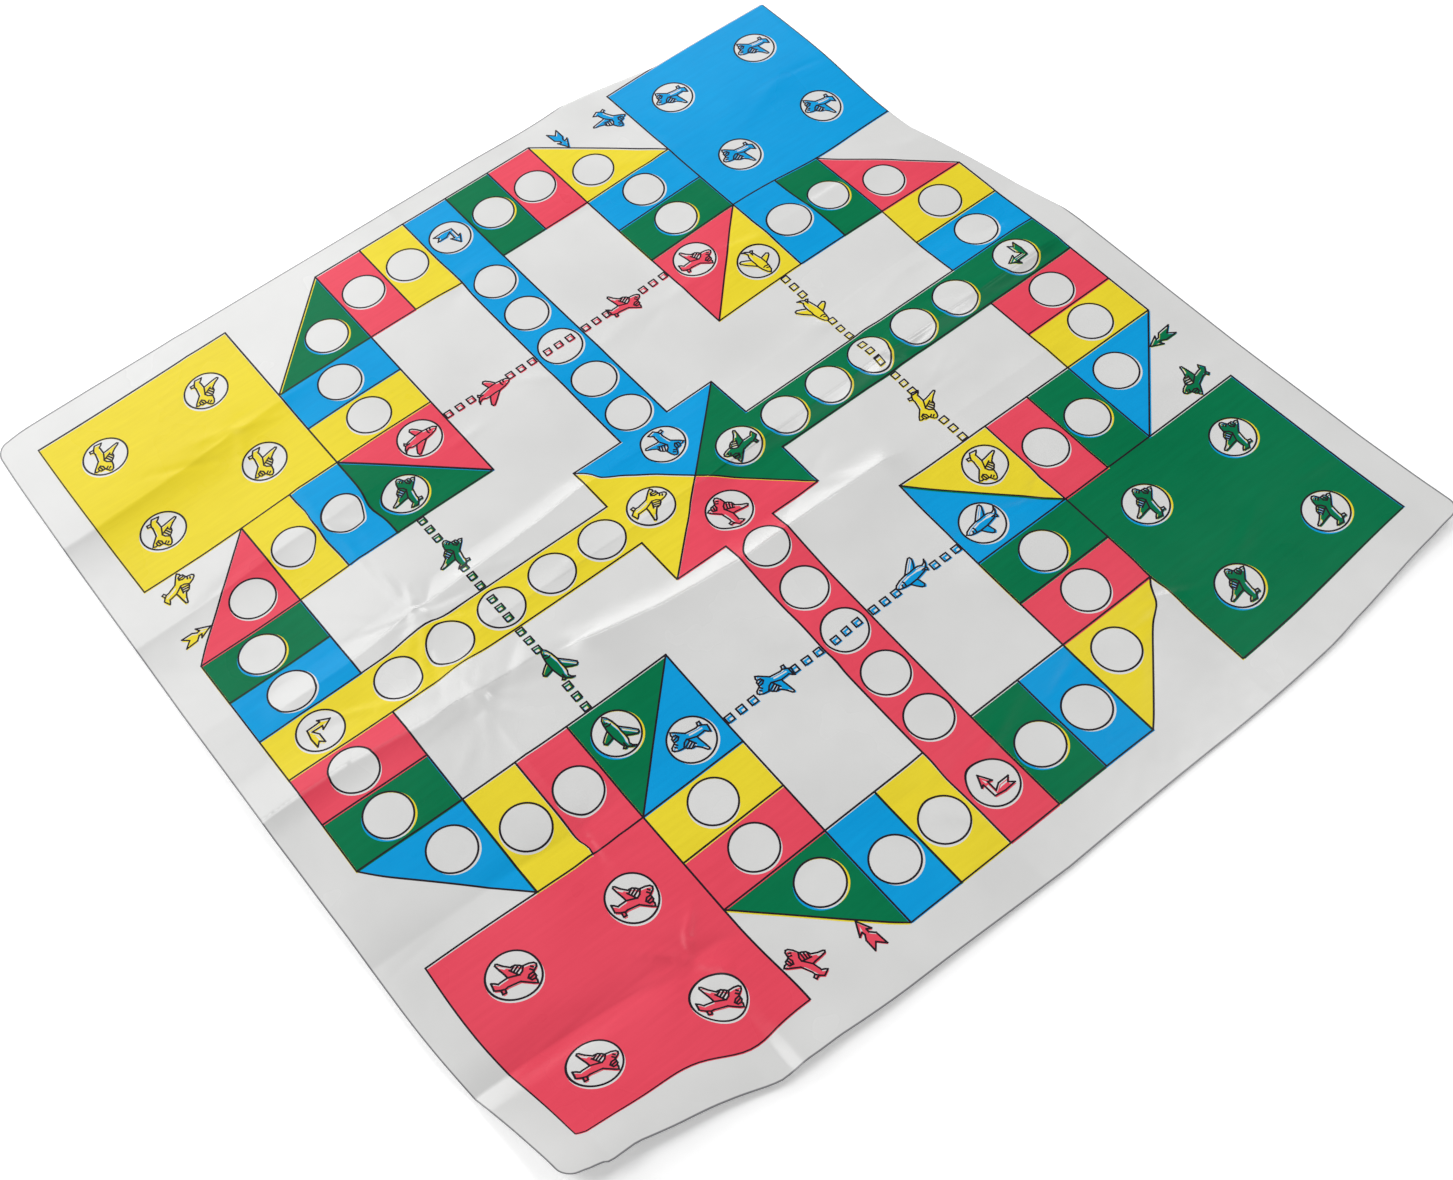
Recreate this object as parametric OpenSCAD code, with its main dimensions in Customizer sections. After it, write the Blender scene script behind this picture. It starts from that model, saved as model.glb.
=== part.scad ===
// Aeroplane chess board: a thin printed plastic sheet that folds up along its creases.
// The sheet lies flat, printed side up. X runs across the creases and Y along them.

/* [Sheet] */
// Width of the film, across the creases
sheet_w = 360; // [352:1:380]
// Length of the film, along the creases
sheet_l = 360; // [352:1:380]
// Thickness of the film
film_t = 0.15; // [0.1:0.01:0.3]
// Radius of the sheet's cut corners
corner_r = 5; // [2:0.5:10]

/* [Creases] */
// From the middle crease to the nearest crease on each side
near_crease = 21.5; // [16:0.5:30]
// From the middle crease to the second crease on each side
second_crease = 73.5; // [66:0.5:80]
// From the middle crease to the outermost crease on each side
outer_crease = 129.5; // [120:0.5:140]

/* [Print] */
// Width of one cell of the track, which sets the printed grid
cell = 19.5; // [18:0.1:20]
// How far right of the sheet's middle the print sits
print_x = -4; // [-6:0.5:-1]
// How far above the sheet's middle the print sits
print_y = 2; // [-4:0.5:4]
// Diameter of a landing spot
spot_d = 16.4; // [13:0.1:18]
// Thickness of one layer of ink
ink_t = 0.02; // [0.01:0.005:0.05]
// Width of a dark line round a spot or along the inside of a cell
line_w = 0.35; // [0.2:0.05:0.8]
// Length of a printed aeroplane
plane_l = 11.5; // [8:0.1:12]
// Side of one dash of a flight line
dash_w = 2.4; // [1.5:0.1:3]
// Length of a turn arrow
turn_l = 9; // [6:0.1:11]
// Length of a launch arrow
launch_l = 11; // [8:0.5:12]

/* [Hidden] */
$fn = 64;

// The creases from left to right, with the sheet's own edges at both ends.
LINES = [
  -sheet_w / 2, -outer_crease, -second_crease, -near_crease, 0,
  near_crease, second_crease, outer_crease, sheet_w / 2
];
STRIPS = [1:8];

// Ink colours in the order that the track repeats them, going clockwise.
COLOURS = ["red", "yellow", "blue", "green"];
PAINT = ["#e84c60", "#f3e13c", "#1f9ee0", "#0f7a4c"];
RED = 0;
YELLOW = 1;
BLUE = 2;
GREEN = 3;

// The one strip whose stretch of the track has no blue field.
NO_BLUE = 5;
function has_ink(c, k) = !(c == BLUE && k == NO_BLUE);

// The print is four like quarters, each turned a quarter turn clockwise from the last.
// Points below are in cells, for the top quarter.
QUARTERS = [0:3];
function turn(p, q) =
  q == 0 ? p : q == 1 ? [p.y, -p.x] : q == 2 ? -p : [-p.y, p.x];
function turn_all(points, q) = [for (p = points) turn(p, q)];
function block(x, y, w, h) = [[x, y], [x + w, y], [x + w, y + h], [x, y + h]];

// Fields of the top quarter: thirteen cells going clockwise, then the hangar.
LANE = 3;
HANGAR = 13;
FIELDS = [
  [[-4.5, 6.5], [-2.5, 6.5], [-2.5, 8.5]],
  block(-2.5, 6.5, 1, 2),
  block(-1.5, 6.5, 1, 2),
  [[0, 0], [1.5, 1.5], [0.5, 1.5], [0.5, 8.5], [-0.5, 8.5], [-0.5, 1.5], [-1.5, 1.5]],
  block(0.5, 6.5, 1, 2),
  block(1.5, 6.5, 1, 2),
  [[2.5, 6.5], [4.5, 6.5], [2.5, 8.5]],
  block(2.5, 5.5, 2, 1),
  block(2.5, 4.5, 2, 1),
  [[2.5, 2.5], [4.5, 4.5], [2.5, 4.5]],
  [[2.5, 2.5], [4.5, 2.5], [4.5, 4.5]],
  block(4.5, 2.5, 1, 2),
  block(5.5, 2.5, 1, 2),
  block(4.5, 4.5, 4, 4)
];

// Landing spots of each field. Those of the lane run from its mouth to the middle.
LANE_MOUTH = [0, 7.58];
LANE_END = [0, 0.95];
HANGAR_MIDDLE = [6.5, 6.5];
BERTH = 1.05;
BERTHS = [for (x = [-BERTH, BERTH], y = [-BERTH, BERTH]) HANGAR_MIDDLE + [x, y]];
TOUCH_DOWN = [3.1, 3.95];
TAKE_OFF = [3.95, 3.1];
SPOTS = [
  [[-3.1, 7.1]],
  [[-2, 7.55]],
  [[-1, 7.55]],
  concat([LANE_MOUTH, LANE_END], [for (i = [0:4]) [0, 1.96 + 1.03 * i]]),
  [[1, 7.55]],
  [[2, 7.55]],
  [[3.1, 7.1]],
  [[3.5, 6]],
  [[3.5, 5]],
  [TOUCH_DOWN],
  [TAKE_OFF],
  [[5, 3.5]],
  [[6, 3.5]],
  BERTHS
];
function colour_of(i, q) = (i == HANGAR ? GREEN + q : i + q) % 4;

// Aeroplanes of the top quarter: place, heading and the colour's step along the order.
FLIGHT_Y = 4.05;
PLANES = concat(
  [for (p = BERTHS) [p, 180, GREEN]],
  [
    [LANE_END, -90, GREEN],
    [TOUCH_DOWN, 0, YELLOW],
    [TAKE_OFF, -90, BLUE],
    [[-1.5, FLIGHT_Y], 0, YELLOW],
    [[1.5, FLIGHT_Y], 0, YELLOW],
    [[4.1, 7.95], -76, GREEN]
  ]
);

// Dashes of the flight line, left and right of its two aeroplanes and in the lane.
DASH_STEP = 0.24;
DASHES = [
  for (x = [-2.17, -0.84, 0, 0.84, 2.17], s = [-1, 0, 1]) [x + s * DASH_STEP, FLIGHT_Y]
];

// Half of an aeroplane seen from above, nose first, for a length of 1.
PLANE_SIDE = [
  [0.5, 0], [0.44, 0.07], [0.2, 0.09], [0.02, 0.48], [-0.12, 0.48],
  [-0.08, 0.09], [-0.34, 0.06], [-0.4, 0.22], [-0.5, 0.22], [-0.46, 0]
];
SIDE_END = len(PLANE_SIDE) - 1;
PLANE = concat(
  PLANE_SIDE,
  [for (i = [SIDE_END - 1:-1:1]) [PLANE_SIDE[i].x, -PLANE_SIDE[i].y]]
);

// Turn arrow from the left and down into the lane, and launch arrow down, for a length of 1.
TURN = [
  [0.1, -0.5], [0.42, -0.12], [0.19, -0.12], [0.19, 0.4], [-0.4, 0.4],
  [-0.4, 0.22], [0.01, 0.22], [0.01, -0.12], [-0.22, -0.12]
];
LAUNCH = [
  [0, -0.5], [0.24, -0.12], [0.07, -0.18], [0.22, 0.12], [0.22, 0.5],
  [0, 0.3], [-0.22, 0.5], [-0.22, 0.12], [-0.07, -0.18], [-0.24, -0.12]
];
LAUNCH_AT = [3.15, 8.27];

// Pulls a counterclockwise outline in by d: each corner moves to where its two edges meet.
function unit(v) = v / norm(v);
function left_of(v) = [-v.y, v.x];
function pulled_in(points, d) = [
  for (i = [0:len(points) - 1])
    let (
      n = len(points),
      a = left_of(unit(points[i] - points[(i + n - 1) % n])),
      b = left_of(unit(points[(i + 1) % n] - points[i]))
    )
      points[i] + (a + b) * d / (1 + a * b)
];

// Does a shape between two x places reach strip k of the sheet? Places are in cells.
function reaches(low, high, k) =
  high * cell + print_x > LINES[k - 1] && low * cell + print_x < LINES[k];
function field_reaches(points, k) =
  reaches(min([for (p = points) p.x]), max([for (p = points) p.x]), k);
function spot_reaches(p, k) = reaches(p.x - 1, p.x + 1, k);

// Outlines in the sheet's own frame

module strip_band(k) {
  translate([LINES[k - 1], -sheet_l / 2])
    square([LINES[k] - LINES[k - 1], sheet_l]);
}

module sheet_outline() {
  side = [sheet_w / 2 - corner_r, sheet_l / 2 - corner_r];
  square([sheet_w, 2 * side.y], center = true);
  square([2 * side.x, sheet_l], center = true);
  for (x = [-1, 1], y = [-1, 1])
    translate([x * side.x, y * side.y])
      circle(corner_r);
}

module printed() {
  translate([print_x, print_y])
    children();
}

module spot(p, d = spot_d) {
  translate(p * cell)
    circle(d = d);
}

module field(i, q) {
  difference() {
    polygon(turn_all(FIELDS[i], q) * cell);
    for (p = SPOTS[i])
      spot(turn(p, q));
  }
}

module icon(outline, size, p, heading) {
  translate(p * cell)
    rotate(heading)
      polygon(outline * size);
}

module quarter_icons(c, q, k) {
  for (plane = PLANES)
    if ((plane[2] + q) % 4 == c && spot_reaches(turn(plane[0], q), k))
      icon(PLANE, plane_l, turn(plane[0], q), plane[1] - 90 * q);
  if ((YELLOW + q) % 4 == c)
    for (p = DASHES)
      if (spot_reaches(turn(p, q), k))
        translate(turn(p, q) * cell)
          square(dash_w, center = true);
  if ((GREEN + q) % 4 == c) {
    if (spot_reaches(turn(LANE_MOUTH, q), k))
      icon(TURN, turn_l, turn(LANE_MOUTH, q), -90 * q);
    if (spot_reaches(turn(LAUNCH_AT, q), k))
      icon(LAUNCH, launch_l, turn(LAUNCH_AT, q), -90 * q);
  }
}

module field_line(i, q) {
  outline = turn_all(FIELDS[i], q) * cell;
  difference() {
    polygon(outline);
    polygon(pulled_in(outline, line_w));
  }
}

module spot_ring(p) {
  difference() {
    spot(p);
    spot(p, spot_d - 2 * line_w);
  }
}

// Sub-parts

module film_strip(k) {
  color("#e6e6e6")
    linear_extrude(film_t)
      intersection() {
        sheet_outline();
        strip_band(k);
      }
}

module colour_ink(c, k) {
  color(PAINT[c])
    translate([0, 0, film_t])
      linear_extrude(ink_t)
        intersection() {
          printed()
            for (q = QUARTERS) {
              for (i = [0:HANGAR])
                if (colour_of(i, q) == c && field_reaches(turn_all(FIELDS[i], q), k))
                  field(i, q);
              quarter_icons(c, q, k);
            }
          strip_band(k);
        }
}

module line_ink(k) {
  color("#241f2b")
    translate([0, 0, film_t + ink_t])
      linear_extrude(ink_t)
        intersection() {
          printed()
            for (q = QUARTERS, i = [0:HANGAR])
              if (field_reaches(turn_all(FIELDS[i], q), k)) {
                field_line(i, q);
                for (p = SPOTS[i])
                  spot_ring(turn(p, q));
              }
          strip_band(k);
        }
}

for (k = STRIPS)
  film_strip(k);
for (c = [0:3], k = STRIPS)
  if (has_ink(c, k))
    colour_ink(c, k);
for (k = STRIPS)
  line_ink(k);
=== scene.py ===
"""Dresses the folding aeroplane chess sheet: creased film, its printed colours and a plain studio."""

import math
import random

import bpy
import numpy as np
from mathutils import Matrix, Vector
from mathutils.geometry import delaunay_2d_cdt


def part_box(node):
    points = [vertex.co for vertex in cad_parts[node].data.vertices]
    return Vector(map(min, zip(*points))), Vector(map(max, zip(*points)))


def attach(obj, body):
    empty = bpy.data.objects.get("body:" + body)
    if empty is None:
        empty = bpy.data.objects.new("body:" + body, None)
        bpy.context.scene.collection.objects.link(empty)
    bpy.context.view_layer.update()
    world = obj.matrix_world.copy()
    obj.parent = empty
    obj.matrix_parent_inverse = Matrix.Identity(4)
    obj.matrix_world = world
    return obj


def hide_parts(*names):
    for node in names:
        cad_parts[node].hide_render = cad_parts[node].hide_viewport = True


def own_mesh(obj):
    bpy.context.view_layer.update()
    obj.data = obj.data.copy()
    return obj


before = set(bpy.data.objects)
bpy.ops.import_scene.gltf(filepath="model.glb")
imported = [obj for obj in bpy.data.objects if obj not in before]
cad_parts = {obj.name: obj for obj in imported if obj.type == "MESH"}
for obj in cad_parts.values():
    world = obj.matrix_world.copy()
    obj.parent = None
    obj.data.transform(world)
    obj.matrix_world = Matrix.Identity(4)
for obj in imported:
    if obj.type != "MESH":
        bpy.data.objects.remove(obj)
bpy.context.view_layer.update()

MM = 0.001
STRIPS = range(1, 9)


# Sizes that the CAD nodes carry, in millimetres


def box_mm(node):
    """The low and high corners of a CAD node's box."""
    low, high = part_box(node)
    return np.array(low) / MM, np.array(high) / MM


FILM = {k: box_mm(f"film_strip_{k}") for k in STRIPS}
LEFT, RIGHT = FILM[1][0][0], FILM[8][1][0]
NEAR, FAR = FILM[4][0][1], FILM[4][1][1]
FILM_T = FILM[4][1][2]
CREASES = [FILM[k][1][0] for k in STRIPS if k < 8]
LINE_LOW = np.min([box_mm(f"line_ink_{k}")[0] for k in STRIPS], axis=0)
LINE_HIGH = np.max([box_mm(f"line_ink_{k}")[1] for k in STRIPS], axis=0)
PRINT_MIDDLE = (LINE_LOW + LINE_HIGH)[:2] / 2
CELLS = 17
CELL = (LINE_HIGH[0] - LINE_LOW[0]) / CELLS
# Radius of the sheet's cut corners and of a landing spot, as in the part's source
CORNER_R = 5.0
SPOT_R = 8.2
# Heights of the ink's underside and top over the film
INK_BASE, INK_LIFT = 0.006, 0.02


# The print: four like quarters, each turned a quarter turn clockwise from the last.
# Places are in cells for the top quarter, and drawn figures in millimetres.

# Inks in the order in which the track repeats its colours, then the key lines and bare film
RED, YELLOW, BLUE, GREEN, KEY = range(5)
BARE = -1


def block(x, y, w, h):
    """Corners of a rectangle, counterclockwise from its lower left."""
    return [(x, y), (x + w, y), (x + w, y + h), (x, y + h)]


# Fields of the top quarter: thirteen going clockwise, the lane among them, then the hangar
LANE = [(0, 0), (1.5, 1.5), (0.5, 1.5), (0.5, 8.5), (-0.5, 8.5), (-0.5, 1.5), (-1.5, 1.5)]
FIELDS = [
    [(-4.5, 6.5), (-2.5, 6.5), (-2.5, 8.5)],
    block(-2.5, 6.5, 1, 2),
    block(-1.5, 6.5, 1, 2),
    LANE,
    block(0.5, 6.5, 1, 2),
    block(1.5, 6.5, 1, 2),
    [(2.5, 6.5), (4.5, 6.5), (2.5, 8.5)],
    block(2.5, 5.5, 2, 1),
    block(2.5, 4.5, 2, 1),
    [(2.5, 2.5), (4.5, 4.5), (2.5, 4.5)],
    [(2.5, 2.5), (4.5, 2.5), (4.5, 4.5)],
    block(4.5, 2.5, 1, 2),
    block(5.5, 2.5, 1, 2),
    block(4.5, 4.5, 4, 4),
]
HANGAR = 13
# Landing spots, with those of the lane from its mouth to the middle, and dashes of the flight line
HANGAR_MIDDLE = 6.5
BERTH = 1.05
BERTHS = [(HANGAR_MIDDLE + x, HANGAR_MIDDLE + y) for x in (-BERTH, BERTH) for y in (-BERTH, BERTH)]
LANE_MOUTH = (0, 7.58)
LANE_END = (0, 0.95)
TAKE_OFF = (3.95, 3.1)
TOUCH_DOWN = (3.1, 3.95)
FLIGHT_Y = 4.05
TRACK_SPOTS = [
    (-3.1, 7.1), (-2, 7.55), (-1, 7.55), (1, 7.55), (2, 7.55), (3.1, 7.1),
    (3.5, 6), (3.5, 5), TOUCH_DOWN, TAKE_OFF, (5, 3.5), (6, 3.5),
]
LANE_FIRST, LANE_STEP = 1.96, 1.03
LANE_SPOTS = [LANE_MOUTH, LANE_END] + [(0, LANE_FIRST + LANE_STEP * i) for i in range(5)]
SPOTS = TRACK_SPOTS + LANE_SPOTS + BERTHS
DASH_STEP = 0.24
DASH_GROUPS = (-2.17, -0.84, 0, 0.84, 2.17)
DASHES = [(x + s * DASH_STEP, FLIGHT_Y) for x in DASH_GROUPS for s in (-1, 0, 1)]
LAUNCH_AT = (3.1, 8.22)

# Twin-engined aeroplane seen from the side and above, flying towards +x
TWIN = [
    (-6.3, 1.6), (-5.6, 1.0), (-4.9, 0.1), (-4.2, 0.2), (-1.9, 0.2), (-2.0, 1.5), (-2.4, 3.9), (-2.6, 5.7),
    (-2.2, 6.1), (-1.8, 5.8), (-0.9, 4.2), (0.5, 2.5), (1.0, 2.5), (1.9, 2.3), (2.8, 1.5), (3.3, 0.8),
    (5.3, 0.4), (6.5, -0.2), (6.9, -0.9), (6.5, -1.6), (4.8, -2.5), (4.7, -4.0), (4.1, -4.5), (4.2, -5.2),
    (3.8, -6.1), (2.8, -5.4), (0.3, -3.0), (-0.1, -2.9), (-1.1, -2.7), (-3.3, -2.3), (-4.3, -2.4),
    (-4.6, -3.5), (-5.6, -3.4), (-5.4, -2.2), (-5.6, -1.8), (-6.8, -0.9),
]
TWIN_STROKES = [
    [(-1.9, 0.2), (-0.4, -0.4), (1.2, -1.1), (2.4, -0.6), (3.4, 0.5)],
    [(-0.3, 1.9), (0.4, 0.4), (0.9, -0.7)],
    [(0.0, 1.5), (1.4, 2.2)],
    [(0.3, 0.7), (2.2, 1.5)],
    [(0.7, -0.1), (2.7, 0.7)],
    [(2.5, -3.3), (3.4, -2.6), (4.6, -2.6)],
    [(2.5, -3.3), (3.0, -4.4), (4.1, -4.5)],
    [(2.8, -3.7), (4.5, -3.4)],
    [(4.5, -1.3), (4.9, -1.9)],
    [(5.2, -0.7), (5.6, -1.3)],
    [(-5.6, -1.8), (-4.3, -2.4)],
]
TWIN_WHITES = [
    [(0.1, 1.8), (1.2, 2.3), (1.7, 2.1), (0.4, 1.4)],
    [(0.5, 1.0), (2.0, 1.7), (2.3, 1.3), (0.8, 0.6)],
    [(0.9, 0.2), (2.5, 0.9), (2.8, 0.6), (1.2, -0.3)],
    [(-2.2, 5.7), (-1.9, 5.6), (-0.5, 3.6), (-1.1, 3.6), (-2.0, 4.9)],
    [(-4.6, -1.4), (-1.0, -1.8), (0.2, -2.1), (-0.1, -2.6), (-3.2, -2.0), (-4.6, -1.9)],
    [(5.9, -0.5), (6.5, -0.7), (6.3, -1.3), (5.6, -1.3)],
    [(3.3, -4.7), (3.9, -4.8), (3.6, -5.6), (2.9, -5.1)],
    [(-5.3, -2.6), (-4.6, -2.7), (-4.8, -3.2), (-5.3, -3.1)],
]
# Slim aeroplane seen from the side and above, flying towards +x
SLIM = [
    (7.2, 0.3), (6.2, 1.2), (4.7, 1.6), (2.4, 1.9), (1.2, 3.7), (0.1, 5.0), (-0.7, 5.3), (-1.3, 4.6),
    (-0.95, 3.0), (-0.6, 1.8), (-2.1, 1.5), (-4.0, 1.1), (-4.9, 0.8), (-5.5, 1.5), (-5.9, 0.8), (-5.7, 0.1),
    (-6.6, -1.1), (-7.0, -2.5), (-6.2, -1.5), (-5.1, -1.1), (-3.8, -1.7), (-2.3, -1.8), (-3.3, -3.4),
    (-4.1, -5.1), (-3.9, -5.9), (-3.2, -6.0), (-1.2, -4.4), (1.4, -2.0), (1.9, -1.7), (4.3, -1.3),
    (6.2, -0.6),
]
SLIM_STROKES = [
    [(-0.6, 1.8), (2.4, 1.9)],
    [(-2.3, -1.8), (0.0, -1.6), (1.9, -1.7)],
    [(3.8, 1.3), (3.6, 0.3), (3.8, -0.4)],
    [(4.9, 1.1), (4.7, 0.4)],
    [(-5.6, 0.2), (-4.0, 0.3)],
]
SLIM_WHITES = [
    [
        (-5.0, -0.7), (-3.6, -0.5), (-1.8, -0.9), (1.0, -1.0), (3.8, -0.5), (6.3, 0.2), (6.0, -0.4),
        (4.2, -1.0), (1.8, -1.4), (0.0, -1.3), (-2.3, -1.5), (-3.8, -1.4),
    ],
    [(-3.6, -5.6), (-3.2, -5.7), (-1.2, -4.0), (1.0, -2.1), (0.2, -2.1), (-1.6, -3.8)],
    [(5.4, 0.4), (6.7, 0.4), (6.2, 0.0), (5.2, -0.2)],
]
# Feathered arrow, pointing towards +x
LAUNCH = [
    (5.8, 0.2), (1.2, 2.5), (2.0, 1.0), (0.9, 0.8), (-0.7, 1.7), (-5.4, 1.7), (-2.9, -0.2), (-5.9, -2.5),
    (-0.7, -2.1), (0.9, -0.6), (2.0, -0.6), (1.2, -2.0),
]
LAUNCH_WHITES = [[(4.6, 0.2), (2.3, 1.5), (2.5, 0.6)]]
# Bent arrow that comes from the left and turns down into the lane
TURN = [
    (1.9, -4.7), (4.0, -0.9), (2.9, -1.4), (2.8, 3.4), (2.0, 3.5), (-0.9, 4.0), (-5.0, 3.8), (-3.3, 2.4),
    (-4.8, 0.9), (-0.9, 0.9), (0.7, 1.9), (1.3, 2.3), (1.2, -1.4), (-0.2, -0.9),
]
TURN_WHITES = [
    [(1.7, -1.2), (2.4, -1.2), (2.4, 2.6), (1.7, 2.6)],
    [(2.0, -3.6), (1.1, -1.8), (1.9, -2.0)],
    [(-4.2, 1.2), (-1.0, 1.2), (0.2, 1.9), (-1.2, 1.7), (-3.9, 1.7)],
]
# Square dash of a flight line, with its paper-white middle a little off centre
DASH = block(-1.25, -1.25, 2.5, 2.5)
DASH_WHITES = [block(-0.75, -0.45, 1.3, 1.3)]


def mirrored(figure):
    """The same figure as seen from its other side."""

    def flip(points):
        return [(x, -y) for x, y in points]

    outline, strokes, whites = figure
    return flip(outline), [flip(points) for points in strokes], [flip(points) for points in whites]


# Figures: outline, strokes and paper-white parts
TWIN_FIGURE = (TWIN, TWIN_STROKES, TWIN_WHITES)
OTHER_TWIN = mirrored(TWIN_FIGURE)
SLIM_FIGURE = (SLIM, SLIM_STROKES, SLIM_WHITES)
LAUNCH_FIGURE = (LAUNCH, [], LAUNCH_WHITES)
TURN_FIGURE = (TURN, [], TURN_WHITES)
DASH_FIGURE = (DASH, [], DASH_WHITES)
# Figures of the top quarter: place, heading and step along the colours
FIGURES = (
    [(TWIN_FIGURE, p, 180, GREEN) for p in BERTHS]
    + [
        (OTHER_TWIN, LANE_END, -90, GREEN),
        (TWIN_FIGURE, TOUCH_DOWN, 0, YELLOW),
        (SLIM_FIGURE, TAKE_OFF, -90, BLUE),
        (SLIM_FIGURE, (-1.5, FLIGHT_Y - 0.07), 0, YELLOW),
        (TWIN_FIGURE, (1.45, FLIGHT_Y), 0, YELLOW),
        (OTHER_TWIN, (4.11, 7.95), -76, GREEN),
        (LAUNCH_FIGURE, LAUNCH_AT, -90, GREEN),
        (TURN_FIGURE, LANE_MOUTH, 0, GREEN),
    ]
    + [(DASH_FIGURE, p, 0, YELLOW) for p in DASHES]
)

# Widths of the key lines, and by what share of half a width a stretch of line runs past its ends
FIELD_LINE = 0.65
RING_LINE = 0.65
FIGURE_LINE = 0.6
LINE_OVERLAP = 0.8
SPOT_SIDES = 44

# How far each printing plate missed its place, in millimetres
COLOUR_PLATES = ["yellow", "red", "cyan"]
MISS = {"yellow": (0.35, -0.45), "red": (0.4, -0.1), "cyan": (0.35, 0.35), "key": (-0.25, 0.0)}
# The share of that miss that two plates have from each other in a figure
FIGURE_MISS = 0.25
PLATES_OF = {RED: ["red"], YELLOW: ["yellow"], BLUE: ["cyan"], GREEN: ["yellow", "cyan"]}


def turned(points, q):
    """Turns points of the top quarter clockwise by q quarter turns."""
    x, y = np.asarray(points, float).T
    for _ in range(q):
        x, y = y, -x
    return np.stack([x, y], 1)


def swung(points, degrees):
    """Turns points round the origin."""
    a = math.radians(degrees)
    x, y = np.asarray(points, float).T
    return np.stack([x * math.cos(a) - y * math.sin(a), x * math.sin(a) + y * math.cos(a)], 1)


def ring(middle, radius):
    """A circle as an outline of SPOT_SIDES points."""
    a = np.arange(SPOT_SIDES) * 2 * math.pi / SPOT_SIDES
    return np.stack([middle[0] + radius * np.cos(a), middle[1] + radius * np.sin(a)], 1)


def stroke(points, width, closed):
    """A pen line as one slim four-sided shape per stretch, each a little longer so that corners fill."""
    p = np.asarray(points, float)
    shapes = []
    for i in range(len(p) if closed else len(p) - 1):
        a, b = p[i], p[(i + 1) % len(p)]
        along = (b - a) / np.linalg.norm(b - a) * width / 2
        side = np.array([-along[1], along[0]])
        a, b = a - along * LINE_OVERLAP, b + along * LINE_OVERLAP
        shapes.append(np.array([a - side, b - side, b + side, a + side]))
    return shapes


def print_shapes():
    """What each plate prints and leaves bare, as outlines in sheet millimetres."""
    shapes = {p: {"field": [], "hole": [], "figure": [], "white": []} for p in COLOUR_PLATES}
    shapes["key"] = {"field_line": [], "pen_line": [], "ring": [], "ring_inside": []}

    def add(plate, kind, outline, together=()):
        miss = np.array(MISS[plate])
        if together:
            middle = np.mean([MISS[p] for p in together], axis=0)
            miss = middle + (miss - middle) * FIGURE_MISS
        shapes[plate][kind].append(outline + PRINT_MIDDLE + miss)

    for q in range(4):
        for i, outline in enumerate(FIELDS):
            place = turned(outline, q) * CELL
            colour = (GREEN + q if i == HANGAR else i + q) % 4
            for plate in PLATES_OF[colour]:
                add(plate, "field", place)
            for piece in stroke(place, FIELD_LINE, True):
                add("key", "field_line", piece)
        for spot in SPOTS:
            middle = turned([spot], q)[0] * CELL
            for plate in COLOUR_PLATES:
                add(plate, "hole", ring(middle, SPOT_R))
            add("key", "ring", ring(middle, SPOT_R))
            add("key", "ring_inside", ring(middle, SPOT_R - RING_LINE))
        for (outline, strokes, whites), spot, heading, step in FIGURES:
            middle = turned([spot], q)[0] * CELL
            plates = PLATES_OF[(step + q) % 4]
            for plate in plates:
                add(plate, "figure", swung(outline, heading - 90 * q) + middle, plates)
                for white in whites:
                    add(plate, "white", swung(white, heading - 90 * q) + middle, plates)
            lines = stroke(outline, FIGURE_LINE, True)
            for line in strokes:
                lines += stroke(line, FIGURE_LINE, False)
            for piece in lines:
                add("key", "pen_line", swung(piece, heading - 90 * q) + middle)
    return shapes


def inside(outline, x, y):
    """Which points lie in an outline, by the even-odd rule."""
    hit = np.zeros(len(x), bool)
    low, high = outline.min(0), outline.max(0)
    near = np.flatnonzero((x > low[0]) & (x < high[0]) & (y > low[1]) & (y < high[1]))
    if not len(near):
        return hit
    px, py = x[near], y[near]
    odd = np.zeros(len(near), bool)
    for (ax, ay), (bx, by) in zip(outline, np.roll(outline, -1, axis=0)):
        if ay == by:
            continue
        crosses = (ay > py) != (by > py)
        odd ^= crosses & (px < ax + (py - ay) / (by - ay) * (bx - ax))
    hit[near] = odd
    return hit


def any_inside(outlines, x, y):
    """Which points lie in at least one of the outlines."""
    hit = np.zeros(len(x), bool)
    for outline in outlines:
        hit |= inside(outline, x, y)
    return hit


def ink_at(shapes, x, y):
    """The ink seen at each point, or BARE. Blue over yellow is green, and blue over red nearly black."""
    printed = {}
    for plate in COLOUR_PLATES:
        s = shapes[plate]
        fields = any_inside(s["field"], x, y) & ~any_inside(s["hole"], x, y)
        printed[plate] = fields | (any_inside(s["figure"], x, y) & ~any_inside(s["white"], x, y))
    key = shapes["key"]
    lines = any_inside(key["field_line"], x, y) | any_inside(key["pen_line"], x, y)
    rings = any_inside(key["ring"], x, y) & ~any_inside(key["ring_inside"], x, y)
    ink = np.full(len(x), BARE)
    ink[printed["yellow"]] = YELLOW
    ink[printed["cyan"]] = BLUE
    ink[printed["yellow"] & printed["cyan"]] = GREEN
    ink[printed["red"]] = RED
    ink[printed["red"] & printed["cyan"]] = KEY
    ink[lines | rings] = KEY
    return ink


# How the creased sheet lies. Heights in millimetres over a place on the flat sheet.

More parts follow.
